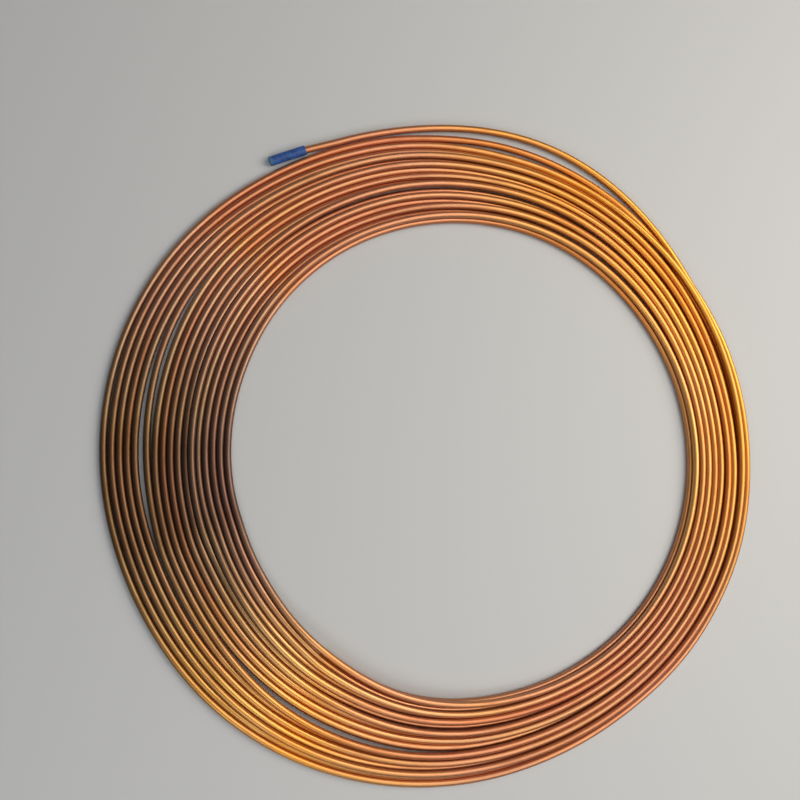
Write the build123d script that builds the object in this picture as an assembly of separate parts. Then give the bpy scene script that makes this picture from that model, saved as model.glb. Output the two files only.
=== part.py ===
from build123d import *

import math
import os

# Soft copper tube wound into a flat coil of two layers, lying on one face.
# All lengths are in millimetres and all angles in degrees, counter-clockwise from +X.

# Tube
tube_od = 6.35
tube_wall = 0.76

# Winding: each layer is one turned solid whose turns show on both ends, in few flat strips
turns_per_layer = 9
turn_sides = 8
layer_gap = 0.1
winding_radius = 304.0
eye_shift = 20.7
rim_step = 7.65

# Free end of the tube, measured outward from the winding's rim
leave_depth = 2.0
leave_angle = 18.0
bulge_gap = 6.8
bulge_angle = 65.0
near_gap = 2.2
near_angle = 94.5
mouth_gap = 2.7
mouth_angle = 116.0

# End cap
cap_length = 34.0
cap_wall = 1.05
cap_floor = 2.0
cap_fit = 0.05
cap_end_play = 0.3
cap_edge = 0.5
cap_mouth_bevel = 0.3

tube_radius = tube_od / 2
bore_radius = tube_radius - tube_wall
outer_turn_radius = winding_radius - tube_radius
layer_width = turns_per_layer * tube_od
eye_radius = winding_radius - rim_step - eye_shift - layer_width
eye_turn_radius = eye_radius + tube_radius
cap_bore_radius = tube_radius + cap_fit
cap_radius = cap_bore_radius + cap_wall
cap_depth = cap_length - cap_floor
rim_radius = winding_radius + tube_radius


def polar_point(radius, angle):
    """A point in the plane of the free end, which its cap holds clear of the ground."""
    turn = math.radians(angle)
    return Vector(radius * math.cos(turn), radius * math.sin(turn), cap_radius)


def turned_layer(first_turn_radius, height):
    """One layer of the winding: a row of turns, side against side, turned about Z."""
    half_side_turn = 180 / turn_sides
    with BuildSketch(Plane.XZ) as row:
        for turn in range(turns_per_layer):
            with Locations((first_turn_radius + turn * tube_od, height)):
                RegularPolygon(tube_radius, turn_sides, major_radius=False, rotation=half_side_turn)
    return revolve(row.sketch, Axis.Z, 360)


def swept_round(radius, path):
    """A round bar that follows a path."""
    return sweep(Plane(origin=path @ 0, z_dir=path % 0) * Circle(radius), path)


# The free end leaves the outermost turn, bulges away, comes near again and runs out straight.
leave_point = polar_point(outer_turn_radius - leave_depth, leave_angle)
bulge_point = polar_point(rim_radius + bulge_gap, bulge_angle)
near_point = polar_point(rim_radius + near_gap, near_angle)
mouth_point = polar_point(rim_radius + mouth_gap, mouth_angle)

bulge_arc = ThreePointArc(leave_point, bulge_point, near_point)
near_arc = TangentArc(near_point, mouth_point, tangent=bulge_arc % 1)
end_direction = near_arc % 1
tip_point = mouth_point + end_direction * (cap_depth - cap_end_play)
free_path = Wire([bulge_arc, near_arc, Line(mouth_point, tip_point)])

# Lower layer, with the free end growing out of its outermost turn
lower_first_turn = outer_turn_radius - (turns_per_layer - 1) * tube_od
lower_layer = turned_layer(lower_first_turn, tube_radius)
lower_layer = lower_layer + swept_round(tube_radius, free_path)
lower_layer = lower_layer - swept_round(bore_radius, free_path)

# Upper layer, resting on the lower one and pushed to one side
upper_height = tube_radius + tube_od + layer_gap
upper_layer = Pos(eye_shift, 0, 0) * turned_layer(eye_turn_radius, upper_height)


# End cap: a blind plastic sleeve, turned, pushed over the tube as far as its floor
with BuildSketch(Plane.XZ) as cap_profile:
    with BuildLine():
        Polyline(
            (0, cap_depth),
            (cap_bore_radius, cap_depth),
            (cap_bore_radius, cap_mouth_bevel),
            (cap_bore_radius + cap_mouth_bevel, 0),
            (cap_radius, 0),
            (cap_radius, cap_length),
            (0, cap_length),
            close=True,
        )
    make_face()
sleeve = revolve(cap_profile.sketch, Axis.Z, 360)
far_edge = sleeve.edges().filter_by(GeomType.CIRCLE).sort_by(Axis.Z)[-1]
sleeve = fillet(far_edge, cap_edge)
end_cap = Plane(origin=mouth_point, z_dir=end_direction) * sleeve

# The origin is under the middle of the whole object's box.
box = Compound([lower_layer, upper_layer, end_cap]).bounding_box()
centring = Pos(-box.center().X, -box.center().Y, -box.min.Z)

parts = {
    "tube_coil": [centring * lower_layer, centring * upper_layer],
    "end_cap": [centring * end_cap],
}

os.makedirs("parts", exist_ok=True)
for name, pieces in parts.items():
    solids = [solid for piece in pieces for solid in piece.solids()]
    export_step(Compound(solids), f"parts/{name}.step")
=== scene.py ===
import math

import bmesh
import bpy
import numpy as np
from bpy.props import FloatProperty, FloatVectorProperty, IntProperty, PointerProperty
from mathutils import Matrix, Vector


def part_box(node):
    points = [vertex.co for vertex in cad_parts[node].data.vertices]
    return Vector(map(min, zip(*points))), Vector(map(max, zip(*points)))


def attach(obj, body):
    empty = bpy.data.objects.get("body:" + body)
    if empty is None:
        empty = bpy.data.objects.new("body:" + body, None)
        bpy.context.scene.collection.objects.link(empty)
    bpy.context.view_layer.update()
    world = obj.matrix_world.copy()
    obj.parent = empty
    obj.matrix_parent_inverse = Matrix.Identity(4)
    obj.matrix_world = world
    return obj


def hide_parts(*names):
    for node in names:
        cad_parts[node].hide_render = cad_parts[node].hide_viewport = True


bl_info = {
    "name": "Copper tube coil",
    "version": (1, 0, 0),
    "blender": (4, 5, 0),
    "location": "View3D > Sidebar > Tube coil",
    "description": "A soft copper tube wound into a flat coil, with a capped free end",
    "category": "Add Mesh",
}

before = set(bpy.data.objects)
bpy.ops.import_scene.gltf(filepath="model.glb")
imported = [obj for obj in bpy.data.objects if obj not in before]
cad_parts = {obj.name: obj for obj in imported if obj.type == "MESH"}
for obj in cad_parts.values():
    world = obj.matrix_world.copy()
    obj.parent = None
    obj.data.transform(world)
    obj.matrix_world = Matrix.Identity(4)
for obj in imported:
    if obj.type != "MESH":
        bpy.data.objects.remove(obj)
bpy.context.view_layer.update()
CAP_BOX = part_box("end_cap")

MM = 0.001
FULL_TURN = 360.0

# The lay of the winding, in millimetres and degrees. Angles run counter-clockwise from +X about
# the winding's axis, and carry on past 360 as the tube does on its way from the eye to the rim.
AXIS = (0.0, -5.17)
WHOLE_TURNS = 18
ENTRY_ANGLE = 272.0
CLIMB_ANGLE = 200.0
INNER_EDGE = (
    (272, 220.5), (285, 225.5), (300, 233.5), (320, 241.8), (340, 244.6), (360, 243.7),
    (380, 239.7), (400, 233.7), (420, 229.1), (440, 221.7), (460, 215.3), (480, 211.1),
    (500, 206.5), (520, 202.2), (540, 199.9), (560, 197.7), (580, 198.1), (600, 203.7),
    (620, 216.4), (632, 220.5),
)
OUTER_EDGE = (
    (272, 298.8), (285, 297.0), (300, 298.5), (310, 304.5), (320, 310.9), (330, 313.0),
    (345, 311.0), (360, 307.5), (380, 304.9), (400, 302.0), (420, 304.5), (440, 304.5),
    (460, 300.0), (480, 303.4), (500, 310.6), (520, 313.5), (540, 310.6), (560, 305.5),
    (580, 304.2), (600, 302.6), (620, 300.0), (632, 298.8),
)
# Places where turns stand apart: the turn inside the gap, where it opens, is widest and closes,
# and how much wider than even it gets.
GAPS = (
    (10, 478, 520, 566, 3.6),
    (11, 493, 540, 604, 3.8),
    (9, 545, 592, 644, 3.6),
    (15, 500, 532, 600, 2.6),
    (14, 540, 566, 606, 2.0),
    (12, 505, 560, 590, 1.2),
    (15, 396, 438, 464, 6.5),
    (16, 292, 322, 346, 3.6),
    (13, 352, 376, 398, 2.4),
    (4, 300, 318, 340, 1.6),
    (0, 560, 592, 616, 2.0),
)
# Rounds of softening, by what they soften, and the share of the way that one round goes
EDGE_SOFTENING = 30
SHIFT_SOFTENING = 500
PITCH_SOFTENING = 60
RIDE_SOFTENING = 40
WAVE_SOFTENING = 30
FREE_SOFTENING = 12
SOFTENING_SHARE = 0.25
# The lay strays in waves. Each next kind comes more often and is lower.
WAVE_HEIGHT = 0.8
WAVE_KINDS = 4
WAVES_PER_TURN = 3
SPARE_KNOTS = 4

# The inner end comes from beneath the first turn, which is lifted over it. Runs are in degrees;
# the inset, the rise and the bore are in millimetres.
LEAD_RUN = 36.0
LEAD_INSET = 1.2
ENTRY_EARLY = 24.0
ENTRY_RUN = 60.0
ENTRY_HELD = 26.0
HUMP_BEFORE_CUT = 26.0
HUMP_TOP_EARLY = 20.0
HUMP_PAST_ENTRY = 60.0
ARCH_RUN = 28.0
ARCH_RISE = 6.1
ARCH_PAST_CUT = 4.0
BORE_SHOWN = 12.0

# The free end's middle line by angle and radius, then its straight run to the cap and inside it,
# where it stops a little short of the cap's end
LEAVE_ANGLE = 380.0
FREE_END = (
    (380, 301.5), (389, 300.6), (399, 303.0), (409.3, 308.2), (419.5, 312.3), (429.9, 314.6),
    (440.3, 312.6), (450.7, 308.8), (461, 306.3), (471, 306.9),
)
FREE_RUN = 91.5
FREE_BLEND = 12.0
FREE_HELD = 14.0
CAP_LIFT_FROM = 30.0
CAP_LIFT_RUN = 50.0
CAP_WAY = 201.9
TUBE_SHORT_OF_CAP = 2.5
STEPS_TO_CAP = 6
STEPS_IN_CAP = 4

# What one round of settling does, in millimetres and as shares, and when it eases off
SINK = 0.03
PULL_BACK = 0.05
PUSH_APART = 1.5
BEND_LOOSE = 0.22
BEND_LEAST = 0.01
EASE_FROM = 0.5
EASE_RUN = 0.35
LEAST_APART = 0.001

# Tones by which the copper's colour is multiplied, each as stops of a place on its scale and a
# tone, and how strongly the finer ones count
CLEAN = (1.0, 1.0, 1.0)
ALONG_TONES = ((0.35, (0.92, 0.74, 0.68)), (0.52, CLEAN), (0.66, (1.06, 1.18, 1.05)))
# Painted reflection: golden towards two opposite sides and salmon between them, mixed with tones
# that differ at random over the coil
GOLD_SHEEN_AND_REGION_TONES = (
    (0.15, (1.00, 0.96, 1.50)),
    (0.50, (1.02, 1.05, 1.00)),
    (0.85, (1.12, 1.06, 0.58)),
)
# Painted shade that darkens and browns one side of the coil
SHADED_SIDE_TONES = (
    (0.00, CLEAN),
    (0.18, (0.91, 1.05, 1.45)),
    (0.95, (0.30, 0.37, 0.66)),
    (1.00, (0.21, 0.24, 0.42)),
)
STREAK_TONES = ((0.30, (0.80, 0.74, 0.70)), (0.55, CLEAN))
BLOTCH_TONES = ((0.32, (0.72, 0.62, 0.55)), (0.46, CLEAN))
# Painted shade low on the tube's sides, where the turns meet
GROOVE_SHADE_TONES = ((0.45, (0.30, 0.25, 0.28)), (0.86, CLEAN))
STREAK_SHARE = 0.55
BLOTCH_SHARE = 0.45
GROOVE_SHADE_SHARE = 0.7
# How fine the patterns on the copper are for each metre, twice across the tube and then along it
DRIFT_SCALE = (0.0, 0.0, 1.9)
STREAK_SCALE = (650.0, 650.0, 5.0)
BLOTCH_SCALE = (160.0, 160.0, 26.0)
BLOTCH_ROUGHNESS = 0.6
REGION_SCALE = 4.5
# The coil has a painted golden reflection towards two opposite sides and painted shade on its
# broad side: the ways there, in degrees, how far out in metres the gold begins and is full, and
# the same for the shade by the cosine of the angle to its way.
GOLD_SHEEN_WAY = 35.0
GOLD_SHEEN_RANGE = (0.12, 0.30)
REGION_RANGE = (0.4, 0.6)
REGION_SHARE = 0.3
SHADED_SIDE_WAY = 187.0
SHADED_SIDE_RANGE = (0.62, 0.99)
# Height on the tube's section, in metres, from its lowest to its highest point
SECTION_RANGE = (-0.0032, 0.0032)
# How much duller or brighter than the set roughness the copper gets by its streaks and blotches
# together, and how much duller still low on its sides
WORN_SHARE = 0.5
DULLER = 0.10
BRIGHTER = 0.04
DULL_RANGE = (0.35, 0.65)
SIDE_DULLNESS = 0.30
SIDE_DULL_RANGE = (0.45, 0.90)
FILM_WEIGHT = 0.50
FILM_RANGE = (0.2, 0.8)
FILM_ROUGHNESS = 0.6
STREAK_BUMP = 0.12
STREAK_DEPTH = 0.06

# The cap's plastic, with lengths in millimetres
CLOUD_SCALE = 260.0
CLOUD_TONES = ((0.32, 0.65), (0.52, 1.0), (0.72, 1.45))
END_PALENESS = 0.8
END_PALE_FROM = 3.2
END_PALE_FULL = 0.8
PLASTIC_ROUGHNESS = 0.45
SCUFF_SCALE = 900.0
SCUFF_BUMP = 0.3
SCUFF_DEPTH = 0.1

# The stage, in metres. Each light has its place, what it points at, its width and its depth.
FLOOR_HALF = 4.0
FLOOR_BELOW = 0.0002
FLOOR_ROUGHNESS = 0.6
SURROUND_COLOUR = (0.9, 0.95, 1.0, 1.0)
WHITE = (1.0, 1.0, 1.0)
LIGHTS = {
    "main": ((1.25, 0.30, 1.30), (0.0, 0.0, 0.0), 1.00, 1.40),
    "side": ((-0.55, -1.10, 1.10), (0.0, 0.0, 0.0), 0.70, 0.70),
    "overhead": ((-0.45, -0.05, 1.50), (0.0, 0.0, 0.0), 0.35, 0.35),
    "softbox": ((1.00, 0.00, 1.42), (1.00, 0.00, 0.0), 1.80, 2.80),
}
# The camera, in millimetres but for its clipping, which is in metres
EYE = (-198.344, 20.938, 723.026)
TARGET = (-48.67, 47.33, 8.0)
LENS = 36.0
SENSOR_WIDTH = 36.0
CLIP_RANGE = (0.01, 50.0)


def smooth_steps(x):
    """Nothing below zero, one above one, and an even swing between them."""
    x = np.clip(x, 0.0, 1.0)
    return x * x * (3 - 2 * x)


def swell_between(angle, opens, widest, closes):
    """Rises from nothing to one and falls back to nothing."""
    rising = smooth_steps((angle - opens) / (widest - opens))
    falling = smooth_steps((closes - angle) / (closes - widest))
    return rising * falling


def soften_once(values, share):
    """Moves each value part of the way to its neighbours', both ends kept."""
    values[1:-1] += share * (values[:-2] - 2 * values[1:-1] + values[2:])


def softened(values, rounds):
    """The same values with their steps rounded off, both ends kept."""
    values = values.copy()
    for _ in range(rounds):
        soften_once(values, SOFTENING_SHARE)
    return values


def level_way(angle):
    """The level direction at an angle in degrees."""
    turned = math.radians(angle)
    return (math.cos(turned), math.sin(turned), 0.0)


def edge_radius(stations, wrapped):
    """The radius of one edge of the winding at each angle."""
    angles, radii = np.array(stations, float).T
    return np.interp(wrapped, angles, radii)


def even_lay(turn, wrapped, tube_radius):
    """The turns spread over the winding's width, with its gaps, and how far apart they lie."""
    inner = softened(edge_radius(INNER_EDGE, wrapped), EDGE_SOFTENING) + tube_radius
    outer = softened(edge_radius(OUTER_EDGE, wrapped), EDGE_SOFTENING) - tube_radius
    last_turn = np.where(wrapped < LEAVE_ANGLE, WHOLE_TURNS - 1, WHOLE_TURNS - 2)
    spare = outer - inner
    before = np.zeros(len(turn))
    for inside, opens, widest, closes, width in GAPS:
        opened = width * swell_between(wrapped, opens, widest, closes)
        spare = spare - opened
        before = before + opened * (turn > inside)
    place = softened(turn / last_turn, SHIFT_SOFTENING)
    return inner + before + spare * place, spare / last_turn


def straying(count, per_turn, seed):
    """How far the tube strays from an even lay at each point."""
    rng = np.random.default_rng(seed)
    waves = np.zeros(count)
    for wave in range(1, WAVE_KINDS + 1):
        knot_count = count // (per_turn // (wave * WAVES_PER_TURN)) + SPARE_KNOTS
        knots = rng.normal(0.0, WAVE_HEIGHT / wave, knot_count)
        waves += np.interp(np.linspace(0, knot_count - 1, count), np.arange(knot_count), knots)
    return softened(waves, WAVE_SOFTENING)


def with_inner_end(wanted, angle, per_turn):
    """The same radii, with the inner end coming from beneath the turn at the eye's edge."""
    one_up = wanted[per_turn:2 * per_turn] + LEAD_INSET
    beneath = np.full(len(angle), one_up[-1])
    beneath[:len(one_up)] = one_up
    entering = smooth_steps((angle - ENTRY_ANGLE + ENTRY_EARLY) / ENTRY_RUN)
    return beneath * (1 - entering) + wanted * entering


def with_free_end(wanted, past_leaving):
    """The same radii, with the free end leaving the rim for its cap."""
    stations = np.array(FREE_END)
    free_radius = np.interp(past_leaving + LEAVE_ANGLE, stations[:, 0], stations[:, 1])
    blend = smooth_steps(past_leaving / FREE_BLEND)
    return wanted * (1 - blend) + softened(free_radius, FREE_SOFTENING) * blend


def starting_rise(angle, pitch, tube_od):
    """How high the turns start: every other one is up where they crowd, and the first one is up
    over the inner end."""
    crowded = np.clip(softened(pitch, PITCH_SOFTENING), tube_od / 2, None)
    ride = np.sqrt(np.clip(tube_od ** 2 - crowded ** 2, 0, None))
    high = np.floor((angle - CLIMB_ANGLE) / FULL_TURN) % 2
    over_lead = swell_between(
        angle - FULL_TURN,
        ENTRY_ANGLE - LEAD_RUN - HUMP_BEFORE_CUT,
        ENTRY_ANGLE - HUMP_TOP_EARLY,
        ENTRY_ANGLE + HUMP_PAST_ENTRY,
    )
    hump = tube_od * np.clip(2 * over_lead, 0, 1)
    return np.maximum(softened(ride * high, RIDE_SOFTENING), hump)


def settle(wanted, height, lowest, held, per_turn, tube_od, rounds):
    """Lets the turns settle on the floor and on each other, and pushes them apart where they
    press into each other."""
    radius = wanted.copy()
    count = len(radius)
    for step in range(rounds):
        eased = 1 - smooth_steps((step / rounds - EASE_FROM) / EASE_RUN)
        height = height - SINK * eased
        radius = radius + PULL_BACK * eased * (wanted - radius)
        push_out = np.zeros(count)
        push_up = np.zeros(count)
        touching = np.zeros(count)
        for shift in range(per_turn, count, per_turn):
            across = radius[shift:] - radius[:-shift]
            rise = height[shift:] - height[:-shift]
            apart = np.maximum(np.hypot(across, rise), LEAST_APART)
            share = np.clip(tube_od - apart, 0.0, None) / apart / 2
            push_out[shift:] += share * across
            push_out[:-shift] -= share * across
            push_up[shift:] += share * rise
            push_up[:-shift] -= share * rise
            touching[shift:] += share > 0
            touching[:-shift] += share > 0
        ease = PUSH_APART / np.maximum(touching, 1)
        radius = np.where(held, wanted, radius + push_out * ease)
        height = np.maximum(height + push_up * ease, lowest)
        bend = BEND_LOOSE * eased + BEND_LEAST
        off = radius - wanted
        soften_once(off, bend)
        radius = wanted + off
        soften_once(height, bend)
        height = np.maximum(height, lowest)
    return radius, height


def cap_middle_height():
    """The height of the cap's middle, in metres."""
    return (CAP_BOX[0].z + CAP_BOX[1].z) / 2


def cap_axis():
    """The cap's mouth, the way it points and its length, from its box: it lies level, askew in
    plan, so its box is its length and width seen askew."""
    low, high = CAP_BOX
    cap_radius = (high.z - low.z) / 2
    way = Vector(level_way(CAP_WAY))
    length = (high.x - low.x - 2 * cap_radius * abs(way.y)) / abs(way.x)
    middle = Vector(((low.x + high.x) / 2, (low.y + high.y) / 2, cap_middle_height()))
    return middle - way * (length / 2), way, length


def capped_run(start):
    """The straight last run of the tube, to its cap and inside it."""
    mouth, way, length = cap_axis()
    begin = Vector(start)
    to_cap = [begin.lerp(mouth, (step + 1) / STEPS_TO_CAP) for step in range(STEPS_TO_CAP)]
    inside = length - TUBE_SHORT_OF_CAP * MM
    in_cap = [mouth + way * (inside * (step + 1) / STEPS_IN_CAP) for step in range(STEPS_IN_CAP)]
    return np.array([list(point) for point in to_cap + in_cap])


def winding_path(sizes):
    """Points along the tube's middle, from its inner end to its capped one, in metres."""
    per_turn = sizes.points_per_turn
    tube_od = sizes.tube_od / MM
    tube_radius = tube_od / 2
    free_angle = LEAVE_ANGLE + FULL_TURN * (WHOLE_TURNS - 1)
    angle = np.arange(ENTRY_ANGLE - LEAD_RUN, free_angle + FREE_RUN, FULL_TURN / per_turn)
    turn = np.maximum(np.floor((angle - ENTRY_ANGLE) / FULL_TURN), 0)
    wrapped = (angle - ENTRY_ANGLE) % FULL_TURN + ENTRY_ANGLE

    wanted, pitch = even_lay(turn, wrapped, tube_radius)
    wanted = wanted + straying(len(angle), per_turn, sizes.seed)
    wanted = with_inner_end(wanted, angle, per_turn)
    wanted = with_free_end(wanted, angle - free_angle)

    on_floor = (angle >= free_angle) | (angle < ENTRY_ANGLE)
    start_height = tube_radius + np.where(on_floor, 0.0, starting_rise(angle, pitch, tube_od))
    held = (angle >= free_angle + FREE_HELD) | (angle < ENTRY_ANGLE + ENTRY_HELD)
    # The first turn arches over the inner end's cut instead of dropping off it.
    cut_end = ENTRY_ANGLE - LEAD_RUN + FULL_TURN
    arch = smooth_steps((angle - cut_end + ARCH_RUN) / ARCH_RUN) * (angle < cut_end + ARCH_PAST_CUT)
    lowest = tube_radius + ARCH_RISE * arch
    radius, height = settle(
        wanted, start_height, lowest, held, per_turn, tube_od, sizes.settle_rounds
    )

    lift = smooth_steps((angle - free_angle - CAP_LIFT_FROM) / CAP_LIFT_RUN)
    height = height + lift * (cap_middle_height() / MM - tube_radius)
    turned = np.radians(angle)
    x = AXIS[0] + radius * np.cos(turned)
    y = AXIS[1] + radius * np.sin(turned)
    path = np.stack([x, y, height], 1) * MM
    return np.concatenate([path, capped_run(path[-1])])


def new_object(name, data):
    """A new object in the scene, at the origin."""
    made = bpy.data.objects.new(name, data)
    bpy.context.scene.collection.objects.link(made)
    return made


def add_node(tree, kind, **settings):
    """A new node, set up by its own settings."""
    node = tree.nodes.new(kind)
    for key, value in settings.items():
        setattr(node, key, value)
    return node


def stored(tree, geometry, name, kind, value):
    """Keeps a value at each point of a geometry, under a name."""
    node = add_node(tree, "GeometryNodeStoreNamedAttribute", data_type=kind, domain="POINT")
    node.inputs["Name"].default_value = name
    tree.links.new(geometry, node.inputs["Geometry"])
    tree.links.new(value, node.inputs["Value"])
    return node.outputs["Geometry"]


def recalled(tree, name, kind):
    """Reads the value that was kept under a name."""
    node = add_node(tree, "GeometryNodeInputNamedAttribute", data_type=kind)
    node.inputs["Name"].default_value = name
    return node.outputs["Attribute"]


def tube_tree(material):
    """Sweeps a round section along a path, and keeps where each point is along and around it."""
    tree = bpy.data.node_groups.new("drawn tube", "GeometryNodeTree")
    face = tree.interface
    face.new_socket(name="Geometry", in_out="INPUT", socket_type="NodeSocketGeometry")
    face.new_socket(name="Tube radius", in_out="INPUT", socket_type="NodeSocketFloat")
    face.new_socket(name="Sides", in_out="INPUT", socket_type="NodeSocketInt")
    face.new_socket(name="Geometry", in_out="OUTPUT", socket_type="NodeSocketGeometry")
    link = tree.links.new
    given = add_node(tree, "NodeGroupInput")
    result = add_node(tree, "NodeGroupOutput")

    line = add_node(tree, "GeometryNodeMeshToCurve")
    upright = add_node(tree, "GeometryNodeSetCurveNormal", mode="Z_UP")
    link(given.outputs["Geometry"], line.inputs["Mesh"])
    link(line.outputs["Curve"], upright.inputs["Curve"])
    travelled = add_node(tree, "GeometryNodeSplineParameter").outputs["Length"]
    path = stored(tree, upright.outputs["Curve"], "along", "FLOAT", travelled)

    section = add_node(tree, "GeometryNodeCurvePrimitiveCircle", mode="RADIUS")
    link(given.outputs["Sides"], section.inputs["Resolution"])
    link(given.outputs["Tube radius"], section.inputs["Radius"])
    position = add_node(tree, "GeometryNodeInputPosition").outputs["Position"]
    profile = stored(tree, section.outputs["Curve"], "section", "FLOAT_VECTOR", position)

    sweep = add_node(tree, "GeometryNodeCurveToMesh")
    sweep.inputs["Fill Caps"].default_value = True
    link(path, sweep.inputs["Curve"])
    link(profile, sweep.inputs["Profile Curve"])

    lengthwise = add_node(tree, "ShaderNodeCombineXYZ")
    link(recalled(tree, "along", "FLOAT"), lengthwise.inputs["Z"])
    both = add_node(tree, "ShaderNodeVectorMath", operation="ADD")
    link(recalled(tree, "section", "FLOAT_VECTOR"), both.inputs[0])
    link(lengthwise.outputs["Vector"], both.inputs[1])
    drawn = stored(tree, sweep.outputs["Mesh"], "drawn", "FLOAT_VECTOR", both.outputs["Vector"])

    smooth = add_node(tree, "GeometryNodeSetShadeSmooth")
    finish = add_node(tree, "GeometryNodeSetMaterial")
    finish.inputs["Material"].default_value = material
    link(drawn, smooth.inputs["Geometry"])
    link(smooth.outputs["Geometry"], finish.inputs["Geometry"])
    link(finish.outputs["Geometry"], result.inputs["Geometry"])
    return tree


def swept_tube(name, path, radius, sides, material):
    """A tube mesh along a path, made by the tree above and turned into plain mesh."""
    points = [tuple(point) for point in path]
    steps = [(i, i + 1) for i in range(len(points) - 1)]
    line = bpy.data.meshes.new(name + " path")
    line.from_pydata(points, steps, [])
    carrier = new_object(name + " carrier", line)
    tree = tube_tree(material)
    modifier = carrier.modifiers.new("drawn tube", "NODES")
    modifier.node_group = tree
    given = {"Tube radius": radius, "Sides": sides}
    for item in tree.interface.items_tree:
        if item.in_out == "INPUT" and item.name in given:
            modifier[item.identifier] = given[item.name]
    depsgraph = bpy.context.evaluated_depsgraph_get()
    evaluated = carrier.evaluated_get(depsgraph)
    mesh = bpy.data.meshes.new_from_object(evaluated, depsgraph=depsgraph)
    mesh.name = name
    bpy.data.objects.remove(carrier)
    return new_object(name, mesh)


def open_inner_end(mesh, tip, wall):
    """Gives the tube's inner end its bore, behind a flat ring as thick as the wall."""
    form = bmesh.new()
    form.from_mesh(mesh)
    most_corners = max(len(face.verts) for face in form.faces)
    closed_ends = [face for face in form.faces if len(face.verts) == most_corners]
    end = min(closed_ends, key=lambda face: (face.calc_center_median() - tip).length)
    ring = bmesh.ops.inset_individual(form, faces=[end], thickness=wall)["faces"]
    inward = end.normal * -BORE_SHOWN * MM
    bore_floor = bmesh.ops.extrude_discrete_faces(form, faces=[end])["faces"][0]
    bmesh.ops.translate(form, verts=list(bore_floor.verts), vec=inward)
    for face in [*ring, bore_floor]:
        face.smooth = False
    form.to_mesh(mesh)
    form.free()


def new_material(name):
    """A material with one plain shader, its node tree and the shader."""
    material = bpy.data.materials.new(name)
    material.use_nodes = True
    tree = material.node_tree
    tree.nodes.clear()
    out = tree.nodes.new("ShaderNodeOutputMaterial")
    shader = tree.nodes.new("ShaderNodeBsdfPrincipled")
    tree.links.new(shader.outputs["BSDF"], out.inputs["Surface"])
    return material, tree, shader


def noise(tree, source, scale, detail, roughness=0.5):
    """Soft noise over a source of coordinates."""
    node = add_node(tree, "ShaderNodeTexNoise")
    node.inputs["Scale"].default_value = scale
    node.inputs["Detail"].default_value = detail
    node.inputs["Roughness"].default_value = roughness
    tree.links.new(source, node.inputs["Vector"])
    return node.outputs["Fac"]


def drawn_noise(tree, drawn, scale, detail, roughness=0.5):
    """Noise that is stretched along the tube."""
    node = add_node(tree, "ShaderNodeMapping")
    node.inputs["Scale"].default_value = scale
    tree.links.new(drawn, node.inputs["Vector"])
    return noise(tree, node.outputs["Vector"], 1.0, detail, roughness)


def ramp(tree, source, stops):
    """Colours by a grey source, from stops of a place and a colour."""
    node = add_node(tree, "ShaderNodeValToRGB")
    band = node.color_ramp
    while len(band.elements) < len(stops):
        band.elements.new(position=0.5)
    for element, (place, colour) in zip(band.elements, stops):
        element.position = place
        element.color = (*colour, 1.0)
    tree.links.new(source, node.inputs["Fac"])
    return node.outputs["Color"]


def mixed(tree, kind, factor, first, second, **settings):
    """A mix of two colours or two greys, by a set factor or by a grey source."""
    node = add_node(tree, "ShaderNodeMix", data_type=kind, **settings)
    if isinstance(factor, float):
        node.inputs["Factor"].default_value = factor
    else:
        tree.links.new(factor, node.inputs["Factor"])
    tree.links.new(first, node.inputs["A"])
    tree.links.new(second, node.inputs["B"])
    return node.outputs["Result"]


def toned(tree, share, colour, source, stops):
    """A colour multiplied by a share of the tones that a grey source picks."""
    tones = ramp(tree, source, stops)
    return mixed(tree, "RGBA", share, colour, tones, blend_type="MULTIPLY")


def grey_range(tree, source, low, high, from_range):
    """A grey source's range, brought to run from one value to another."""
    node = add_node(tree, "ShaderNodeMapRange")
    node.inputs["From Min"].default_value = from_range[0]
    node.inputs["From Max"].default_value = from_range[1]
    node.inputs["To Min"].default_value = low
    node.inputs["To Max"].default_value = high
    tree.links.new(source, node.inputs["Value"])
    return node.outputs["Result"]


def reach_along(tree, source, way):
    """How far a place lies along a direction."""
    node = add_node(tree, "ShaderNodeVectorMath", operation="DOT_PRODUCT")
    node.inputs[1].default_value = way
    tree.links.new(source, node.inputs[0])
    return node.outputs["Value"]


def add_bump(tree, shader, height, strength, depth):
    """Roughens a shader's surface by a grey height, its depth in millimetres."""
    bump = add_node(tree, "ShaderNodeBump")
    bump.inputs["Strength"].default_value = strength
    bump.inputs["Distance"].default_value = depth * MM
    tree.links.new(height, bump.inputs["Height"])
    tree.links.new(bump.outputs["Normal"], shader.inputs["Normal"])


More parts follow.
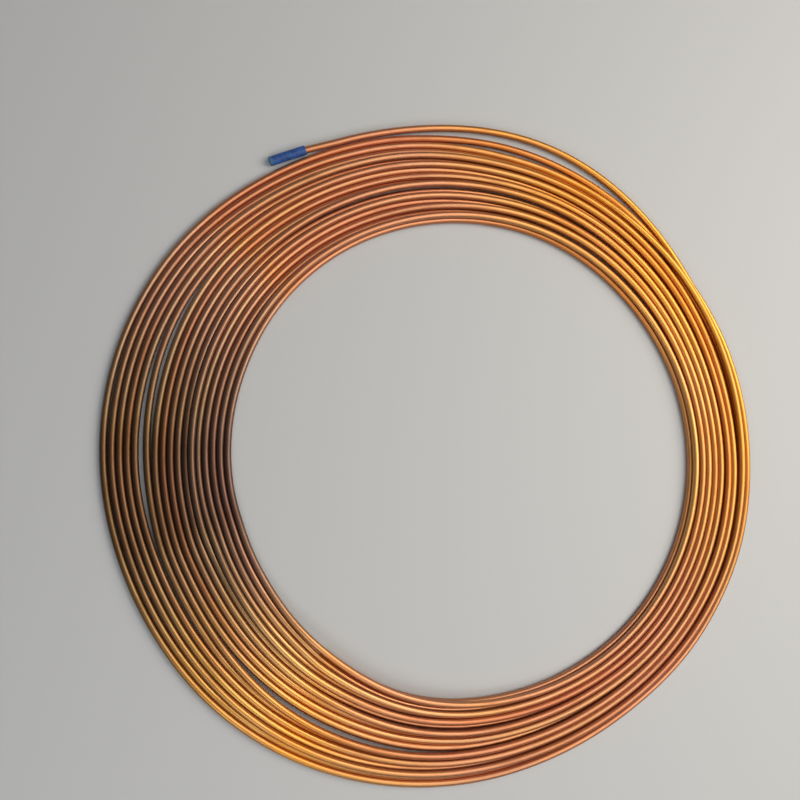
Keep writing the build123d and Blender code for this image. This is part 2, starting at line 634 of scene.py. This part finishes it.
def copper_finish(finish):
    """Drawn copper: faint lengthwise streaks and dull blotches, tones that drift along the tube
    and over the coil, a painted golden reflection towards two opposite sides, painted shade on
    one side of the coil, and painted shade low on the tube's sides, where the turns meet."""
    material, tree, shader = new_material("drawn copper")
    link = tree.links.new
    drawn = add_node(tree, "ShaderNodeAttribute", attribute_name="drawn").outputs["Vector"]
    place = add_node(tree, "ShaderNodeTexCoord").outputs["Object"]
    drift = drawn_noise(tree, drawn, DRIFT_SCALE, detail=1.0)
    regions = noise(tree, place, REGION_SCALE, detail=2.0)
    streaks = drawn_noise(tree, drawn, STREAK_SCALE, detail=2.0)
    blotches = drawn_noise(tree, drawn, BLOTCH_SCALE, detail=3.0, roughness=BLOTCH_ROUGHNESS)

    colour = ramp(tree, drift, [
        (stop, tuple(c * k for c, k in zip(finish.copper, tone))) for stop, tone in ALONG_TONES
    ])

    # Painted golden reflection towards two opposite sides, mixed with a share of tones that differ
    # at random
    off_middle = add_node(tree, "ShaderNodeMath", operation="ABSOLUTE")
    link(reach_along(tree, place, level_way(GOLD_SHEEN_WAY)), off_middle.inputs[0])
    painted_gold_by_side = grey_range(tree, off_middle.outputs["Value"], 0.0, 1.0, GOLD_SHEEN_RANGE)
    by_region = grey_range(tree, regions, 0.0, 1.0, REGION_RANGE)
    golden_sheen_and_tone = mixed(tree, "FLOAT", REGION_SHARE, painted_gold_by_side, by_region)
    colour = toned(tree, 1.0, colour, golden_sheen_and_tone, GOLD_SHEEN_AND_REGION_TONES)

    # Painted shade that darkens and browns one side of the coil
    level = add_node(tree, "ShaderNodeVectorMath", operation="MULTIPLY")
    level.inputs[1].default_value = (1.0, 1.0, 0.0)
    link(place, level.inputs[0])
    outward = add_node(tree, "ShaderNodeVectorMath", operation="NORMALIZE")
    link(level.outputs["Vector"], outward.inputs[0])
    toward_shaded_side = reach_along(tree, outward.outputs["Vector"], level_way(SHADED_SIDE_WAY))
    painted_side_shade = grey_range(tree, toward_shaded_side, 0.0, 1.0, SHADED_SIDE_RANGE)
    colour = toned(tree, 1.0, colour, painted_side_shade, SHADED_SIDE_TONES)
    colour = toned(tree, STREAK_SHARE, colour, streaks, STREAK_TONES)
    colour = toned(tree, BLOTCH_SHARE, colour, blotches, BLOTCH_TONES)

    # The section's own up and down, which stays with the tube as it winds
    split = add_node(tree, "ShaderNodeSeparateXYZ")
    link(drawn, split.inputs["Vector"])
    upward = grey_range(tree, split.outputs["Y"], 1.0, 0.0, SECTION_RANGE)
    # Painted shade: the low sides of the section are darkened, where the turns meet
    colour = toned(tree, GROOVE_SHADE_SHARE, colour, upward, GROOVE_SHADE_TONES)
    link(colour, shader.inputs["Base Color"])

    worn = mixed(tree, "FLOAT", WORN_SHARE, streaks, blotches)
    dullest = finish.roughness + DULLER
    brightest = finish.roughness - BRIGHTER
    rough = add_node(tree, "ShaderNodeMath", operation="ADD")
    link(grey_range(tree, worn, dullest, brightest, DULL_RANGE), rough.inputs[0])
    link(grey_range(tree, upward, SIDE_DULLNESS, 0.0, SIDE_DULL_RANGE), rough.inputs[1])
    link(rough.outputs["Value"], shader.inputs["Roughness"])
    shader.inputs["Metallic"].default_value = 1.0
    # A thin dull film, which the parts with the painted golden reflection have less of
    link(grey_range(tree, golden_sheen_and_tone, FILM_WEIGHT, 0.0, FILM_RANGE), shader.inputs["Coat Weight"])
    shader.inputs["Coat Roughness"].default_value = FILM_ROUGHNESS
    add_bump(tree, shader, streaks, STREAK_BUMP, STREAK_DEPTH)
    return material


def plastic_finish(finish):
    """Soft moulded plastic, blue, cloudy and a little scuffed, and paler round its closed end."""
    material, tree, shader = new_material("blue plastic")
    place = add_node(tree, "ShaderNodeTexCoord").outputs["Object"]
    clouds = noise(tree, place, CLOUD_SCALE, detail=4.0)
    scuffs = noise(tree, place, SCUFF_SCALE, detail=3.0)
    colour = ramp(tree, clouds, [
        (stop, tuple(min(1.0, c * tone) for c in finish.plastic)) for stop, tone in CLOUD_TONES
    ])
    mouth, way, length = cap_axis()
    closed_end = mouth.dot(way) + length
    pale_range = (closed_end - END_PALE_FROM * MM, closed_end - END_PALE_FULL * MM)
    end_tone = grey_range(tree, reach_along(tree, place, way), 0.0, END_PALENESS, pale_range)
    pale = add_node(tree, "ShaderNodeRGB")
    pale.outputs["Color"].default_value = (*finish.plastic_end, 1.0)
    colour = mixed(tree, "RGBA", end_tone, colour, pale.outputs["Color"])
    tree.links.new(colour, shader.inputs["Base Color"])
    shader.inputs["Roughness"].default_value = PLASTIC_ROUGHNESS
    add_bump(tree, shader, scuffs, SCUFF_BUMP, SCUFF_DEPTH)
    return material


def add_floor(colour):
    """The plain floor, a hair below the ground that the coil lies on."""
    material, _, shader = new_material("plain floor")
    shader.inputs["Base Color"].default_value = (*colour, 1.0)
    shader.inputs["Roughness"].default_value = FLOOR_ROUGHNESS
    mesh = bpy.data.meshes.new("floor")
    corners = [(-1, -1), (1, -1), (1, 1), (-1, 1)]
    mesh.from_pydata([(x * FLOOR_HALF, y * FLOOR_HALF, 0) for x, y in corners], [], [(0, 1, 2, 3)])
    mesh.materials.append(material)
    floor = new_object("floor", mesh)
    floor.location.z = -FLOOR_BELOW


def set_surround(strength):
    """Soft pale light from all round."""
    world = bpy.data.worlds.new("soft surround")
    world.use_nodes = True
    background = world.node_tree.nodes["Background"]
    background.inputs["Color"].default_value = SURROUND_COLOUR
    background.inputs["Strength"].default_value = strength
    bpy.context.scene.world = world


def add_light(name, place, target, width, depth, power, colour):
    """A wide light that points at its target."""
    lamp = bpy.data.lights.new(name, "AREA")
    lamp.shape = "RECTANGLE"
    lamp.size = width
    lamp.size_y = depth
    lamp.energy = power
    lamp.color = colour
    made = new_object(name, lamp)
    made.location = place
    made.rotation_mode = "QUATERNION"
    made.rotation_quaternion = (Vector(target) - Vector(place)).to_track_quat("-Z", "Y")


def add_camera():
    """The camera, at the photograph's place and with its width of view."""
    lens = bpy.data.cameras.new("camera")
    lens.lens = LENS
    lens.sensor_width = SENSOR_WIDTH
    lens.clip_start, lens.clip_end = CLIP_RANGE
    camera = new_object("camera", lens)
    eye = Vector(EYE) * MM
    target = Vector(TARGET) * MM
    ahead = (target - eye).normalized()
    right = ahead.cross(Vector((0, 1, 0))).normalized()
    up = right.cross(ahead)
    turn = Matrix((right, up, -ahead)).transposed().to_4x4()
    camera.matrix_world = Matrix.Translation(eye) @ turn
    bpy.context.scene.camera = camera


class CoilSizes(bpy.types.PropertyGroup):
    tube_od: FloatProperty(
        name="Tube diameter", description="Outside diameter of the tube",
        default=6.35 * MM, subtype="DISTANCE", unit="LENGTH",
    )
    tube_wall: FloatProperty(
        name="Tube wall", description="Thickness of the tube's wall",
        default=0.76 * MM, subtype="DISTANCE", unit="LENGTH",
    )
    points_per_turn: IntProperty(
        name="Points per turn", description="How finely each turn is divided", default=180,
    )
    tube_sides: IntProperty(
        name="Tube sides", description="Sides of the tube's section", default=24,
    )
    settle_rounds: IntProperty(
        name="Settling rounds", description="Rounds in which the turns settle", default=700,
    )
    seed: IntProperty(name="Seed", description="Fixes the winding's unevenness", default=4)


class FinishSettings(bpy.types.PropertyGroup):
    copper: FloatVectorProperty(
        name="Copper", description="Colour of clean drawn copper",
        default=(0.83, 0.39, 0.135), subtype="COLOR", size=3, min=0, max=1,
    )
    roughness: FloatProperty(
        name="Copper roughness", description="How dull the tube is",
        default=0.35, subtype="FACTOR", min=0, max=1,
    )
    plastic: FloatVectorProperty(
        name="Cap", description="Colour of the cap's plastic",
        default=(0.027, 0.105, 0.385), subtype="COLOR", size=3, min=0, max=1,
    )
    plastic_end: FloatVectorProperty(
        name="Cap's end", description="Colour of the cap's closed end",
        default=(0.06, 0.20, 0.36), subtype="COLOR", size=3, min=0, max=1,
    )


class StageSettings(bpy.types.PropertyGroup):
    floor: FloatVectorProperty(
        name="Floor", description="Colour of the plain floor",
        default=(0.71, 0.73, 0.78), subtype="COLOR", size=3, min=0, max=1,
    )
    key_power: FloatProperty(
        name="Main light", description="Power of the main light", default=14.5, unit="POWER",
    )
    key_colour: FloatVectorProperty(
        name="Main light's colour", description="Colour of the main light",
        default=(1.0, 0.90, 0.74), subtype="COLOR", size=3, min=0, max=1,
    )
    side_power: FloatProperty(
        name="Side light", description="Power of the side light", default=4.0, unit="POWER",
    )
    overhead_power: FloatProperty(
        name="Overhead light", description="Power of the overhead light", default=0.8, unit="POWER",
    )
    softbox_power: FloatProperty(
        name="Softbox", description="Power of the wide light above", default=20.0, unit="POWER",
    )
    softbox_colour: FloatVectorProperty(
        name="Softbox's colour", description="Colour of the wide light above",
        default=(1.0, 0.94, 0.80), subtype="COLOR", size=3, min=0, max=1,
    )
    surround: FloatProperty(name="Surround", description="Brightness all round", default=0.17)
    exposure: FloatProperty(
        name="Exposure", description="Brightness of the whole picture, in stops", default=-0.32,
    )


class COIL_OT_tube(bpy.types.Operator):
    """Winds the copper tube"""
    bl_idname = "coil.tube"
    bl_label = "Tube coil"

    def execute(self, context):
        sizes = context.scene.coil_sizes
        material = copper_finish(context.scene.coil_finish)
        path = winding_path(sizes)
        tube = swept_tube("copper_tube", path, sizes.tube_od / 2, sizes.tube_sides, material)
        open_inner_end(tube.data, Vector(path[0]), sizes.tube_wall)
        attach(tube, "root")
        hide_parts("tube_coil")
        return {"FINISHED"}


class COIL_OT_cap(bpy.types.Operator):
    """Finishes the end cap"""
    bl_idname = "coil.cap"
    bl_label = "End cap"

    def execute(self, context):
        material = plastic_finish(context.scene.coil_finish)
        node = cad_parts["end_cap"]
        for slot in node.material_slots:
            slot.material = material
        return {"FINISHED"}


class COIL_OT_stage(bpy.types.Operator):
    """Sets the floor, the lights and the camera"""
    bl_idname = "coil.stage"
    bl_label = "Stage"

    def execute(self, context):
        settings = context.scene.coil_stage
        context.scene.view_settings.view_transform = "Standard"
        context.scene.view_settings.exposure = settings.exposure
        add_floor(settings.floor)
        set_surround(settings.surround)
        lit = {
            "main": (settings.key_power, settings.key_colour),
            "side": (settings.side_power, WHITE),
            "overhead": (settings.overhead_power, WHITE),
            "softbox": (settings.softbox_power, settings.softbox_colour),
        }
        for name, (power, colour) in lit.items():
            add_light(name, *LIGHTS[name], power, colour)
        add_camera()
        return {"FINISHED"}


class COIL_PT_panel(bpy.types.Panel):
    bl_label = "Tube coil"
    bl_idname = "COIL_PT_panel"
    bl_space_type = "VIEW_3D"
    bl_region_type = "UI"
    bl_category = "Tube coil"

    def draw(self, context):
        column = self.layout.column()
        for operator in (COIL_OT_tube, COIL_OT_cap, COIL_OT_stage):
            column.operator(operator.bl_idname)
        scene = context.scene
        for settings in (scene.coil_sizes, scene.coil_finish, scene.coil_stage):
            for name in settings.bl_rna.properties.keys():
                if name not in ("rna_type", "name"):
                    column.prop(settings, name)


CLASSES = (
    CoilSizes, FinishSettings, StageSettings,
    COIL_OT_tube, COIL_OT_cap, COIL_OT_stage, COIL_PT_panel,
)


def register():
    for cls in CLASSES:
        bpy.utils.register_class(cls)
    bpy.types.Scene.coil_sizes = PointerProperty(type=CoilSizes)
    bpy.types.Scene.coil_finish = PointerProperty(type=FinishSettings)
    bpy.types.Scene.coil_stage = PointerProperty(type=StageSettings)


def unregister():
    del bpy.types.Scene.coil_stage
    del bpy.types.Scene.coil_finish
    del bpy.types.Scene.coil_sizes
    for cls in reversed(CLASSES):
        bpy.utils.unregister_class(cls)


def main():
    register()
    bpy.ops.coil.tube()
    bpy.ops.coil.cap()
    bpy.ops.coil.stage()


if __name__ == "__main__":
    main()
